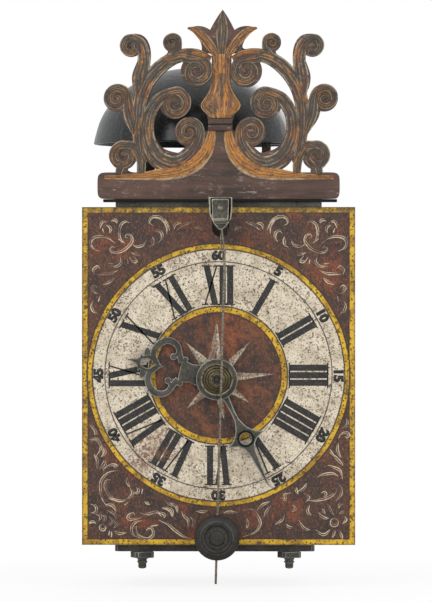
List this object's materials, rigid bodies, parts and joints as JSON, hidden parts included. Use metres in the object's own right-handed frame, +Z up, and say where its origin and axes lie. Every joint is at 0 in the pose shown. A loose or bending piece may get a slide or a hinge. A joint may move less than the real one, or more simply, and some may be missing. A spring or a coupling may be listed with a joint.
{
  "type": "iron wall clock",
  "caption": "Iron weight-driven wall clock: painted dial, carved crest, bell, short front pendulum, verge going train, count-wheel strike; hangs by a rear hoop with wall spurs below.",
  "frame": {"origin": "middle of the rear face of the hanging hoop, in the plane of the wall", "axes": "+Z up, +Y into the wall, so the dial faces -Y; +X to the right as one looks at the dial"},
  "size_m": [0.205, 0.2045, 0.4301],
  "materials": {
    "frame_iron": "forged, worn, lighter at the edges",
    "dark_iron": "forged, dark",
    "wheel_iron": "filed iron with brown patina",
    "steel": "worn bright steel",
    "hand_iron": "sawn sheet iron, dark",
    "brass": "turned, dull",
    "bob_iron": "turned, dark with bright rings",
    "bell_metal": "satin dark grey",
    "dial_paint": "old oil paint, worn",
    "crest_paint": "carved and painted, worn"
  },
  "bodies": {
    "frame": {"top_plate": "dark_iron", "bottom_plate": "dark_iron", "front_left_post": "frame_iron", "rear_left_post": "frame_iron", "front_right_post": "frame_iron", "rear_right_post": "frame_iron", "front_left_nut": "frame_iron", "rear_left_nut": "frame_iron", "front_right_nut": "frame_iron", "rear_right_nut": "frame_iron", "front_bar": "frame_iron", "middle_bar": "frame_iron", "rear_bar": "frame_iron", "wall_hoop": "frame_iron", "left_wall_spur": "frame_iron", "right_wall_spur": "frame_iron", "dial_plate": "dial_paint", "crest_rail": "dark_iron", "crest": "crest_paint", "crest_bracket_left": "frame_iron", "crest_bracket_right": "frame_iron", "pendulum_cock": "frame_iron", "crown_top_cock": "frame_iron", "crown_potence": "frame_iron", "verge_cock": "frame_iron", "bell": "bell_metal", "bell_stand": "frame_iron", "bell_nut": "frame_iron", "hammer_spring": "steel"},
    "going_great": {"going_great_wheel": "wheel_iron", "going_great_arbor": "steel"},
    "going_pulley": {"going_rope_pulley": "wheel_iron"},
    "centre": {"centre_arbor": "steel", "centre_wheel": "wheel_iron"},
    "contrate": {"contrate_arbor": "steel", "contrate_wheel": "wheel_iron"},
    "crown": {"crown_arbor": "steel", "crown_wheel": "wheel_iron"},
    "minute": {"cannon_pinion": "steel", "minute_hand": "hand_iron", "hand_washer": "hand_iron", "hand_cap": "brass"},
    "motion": {"minute_wheel": "wheel_iron"},
    "hour": {"hour_wheel": "wheel_iron", "hour_hand": "hand_iron"},
    "pendulum": {"verge": "steel", "pendulum_rod": "steel"},
    "bob": {"pendulum_bob": "bob_iron"},
    "strike_great": {"strike_great_wheel": "wheel_iron", "strike_great_arbor": "steel"},
    "strike_pulley": {"strike_rope_pulley": "wheel_iron"},
    "pin": {"pin_wheel_arbor": "steel", "pin_wheel": "wheel_iron"},
    "hoop": {"hoop_arbor": "steel", "hoop_wheel": "wheel_iron"},
    "fly": {"fly": "steel"},
    "count": {"count_wheel": "wheel_iron"},
    "hammer": {"hammer": "steel"},
    "locking": {"locking_lever": "steel"},
    "lifting": {"lifting_lever": "steel"}
  },
  "joints": [
    {"name": "contrate_spin", "type": "hinge", "parent": "frame", "child": "contrate", "pos_m": [0.00165, -0.135, -0.10031], "axis": [0, 1, 0], "continuous": true},
    {"name": "centre_spin", "type": "hinge", "parent": "frame", "child": "centre", "pos_m": [-0.0011, -0.14, -0.1363], "axis": [0, 1, 0], "continuous": true},
    {"name": "going_great_spin", "type": "hinge", "parent": "frame", "child": "going_great", "pos_m": [-0.0011, -0.14, -0.18688], "axis": [0, 1, 0], "continuous": true},
    {"name": "crown_spin", "type": "hinge", "parent": "frame", "child": "crown", "pos_m": [0.00165, -0.14, -0.05], "axis": [0, 0, 1], "continuous": true},
    {"name": "going_pulley_wind", "type": "hinge", "parent": "going_great", "child": "going_pulley", "pos_m": [-0.0011, -0.14, -0.18688], "axis": [0, 1, 0], "continuous": true},
    {"name": "minute_hand_spin", "type": "hinge", "parent": "frame", "child": "minute", "pos_m": [-0.0011, -0.185, -0.1363], "axis": [0, 1, 0], "continuous": true},
    {"name": "minute_wheel_spin", "type": "hinge", "parent": "frame", "child": "motion", "pos_m": [-0.0011, -0.171, -0.1564], "axis": [0, 1, 0], "continuous": true},
    {"name": "hour_hand_spin", "type": "hinge", "parent": "frame", "child": "hour", "pos_m": [-0.0011, -0.182, -0.1363], "axis": [0, 1, 0], "continuous": true},
    {"name": "pendulum_swing", "type": "hinge", "parent": "frame", "child": "pendulum", "pos_m": [0.00165, -0.16, -0.0094], "axis": [0, 1, 0], "range_deg": [-9, 9]},
    {"name": "bob_slide", "type": "slide", "parent": "pendulum", "child": "bob", "axis": [0.0272, 0, 0.9996], "range_m": [-0.01, 0.01]},
    {"name": "hoop_spin", "type": "hinge", "parent": "frame", "child": "hoop", "pos_m": [-0.0011, -0.09, -0.10378], "axis": [0, 1, 0], "continuous": true},
    {"name": "pin_wheel_spin", "type": "hinge", "parent": "frame", "child": "pin", "pos_m": [-0.0011, -0.08, -0.1363], "axis": [0, 1, 0], "continuous": true},
    {"name": "strike_great_spin", "type": "hinge", "parent": "frame", "child": "strike_great", "pos_m": [-0.0011, -0.09, -0.18688], "axis": [0, 1, 0], "continuous": true},
    {"name": "count_wheel_spin", "type": "hinge", "parent": "frame", "child": "count", "pos_m": [-0.0011, -0.05, -0.15523], "axis": [0, 1, 0], "continuous": true},
    {"name": "fly_spin", "type": "hinge", "parent": "frame", "child": "fly", "pos_m": [-0.0011, -0.08, -0.08057], "axis": [0, 1, 0], "continuous": true},
    {"name": "strike_pulley_wind", "type": "hinge", "parent": "strike_great", "child": "strike_pulley", "pos_m": [-0.0011, -0.09, -0.18688], "axis": [0, 1, 0], "continuous": true},
    {"name": "hammer_swing", "type": "hinge", "parent": "frame", "child": "hammer", "pos_m": [0.033, -0.09, -0.1033], "axis": [0, -1, 0], "range_deg": [0, 12]},
    {"name": "locking_lift", "type": "hinge", "parent": "frame", "child": "locking", "pos_m": [-0.034, -0.08, -0.0953], "axis": [0, -1, 0], "range_deg": [0, 8]},
    {"name": "lifting_lift", "type": "hinge", "parent": "frame", "child": "lifting", "pos_m": [-0.034, -0.14, -0.1133], "axis": [0, -1, 0], "range_deg": [0, 8]}
  ],
  "couplings": [
    {"joint": "centre_spin", "follows": "contrate_spin", "ratio": -0.090909},
    {"joint": "going_great_spin", "follows": "contrate_spin", "ratio": 0.015152},
    {"joint": "crown_spin", "follows": "contrate_spin", "ratio": -10},
    {"joint": "minute_wheel_spin", "follows": "minute_hand_spin", "ratio": -0.33333},
    {"joint": "hour_hand_spin", "follows": "minute_hand_spin", "ratio": 0.083333},
    {"joint": "pin_wheel_spin", "follows": "hoop_spin", "ratio": -0.125},
    {"joint": "strike_great_spin", "follows": "hoop_spin", "ratio": 0.020833},
    {"joint": "count_wheel_spin", "follows": "hoop_spin", "ratio": -0.012821},
    {"joint": "fly_spin", "follows": "hoop_spin", "ratio": -6}
  ]
}
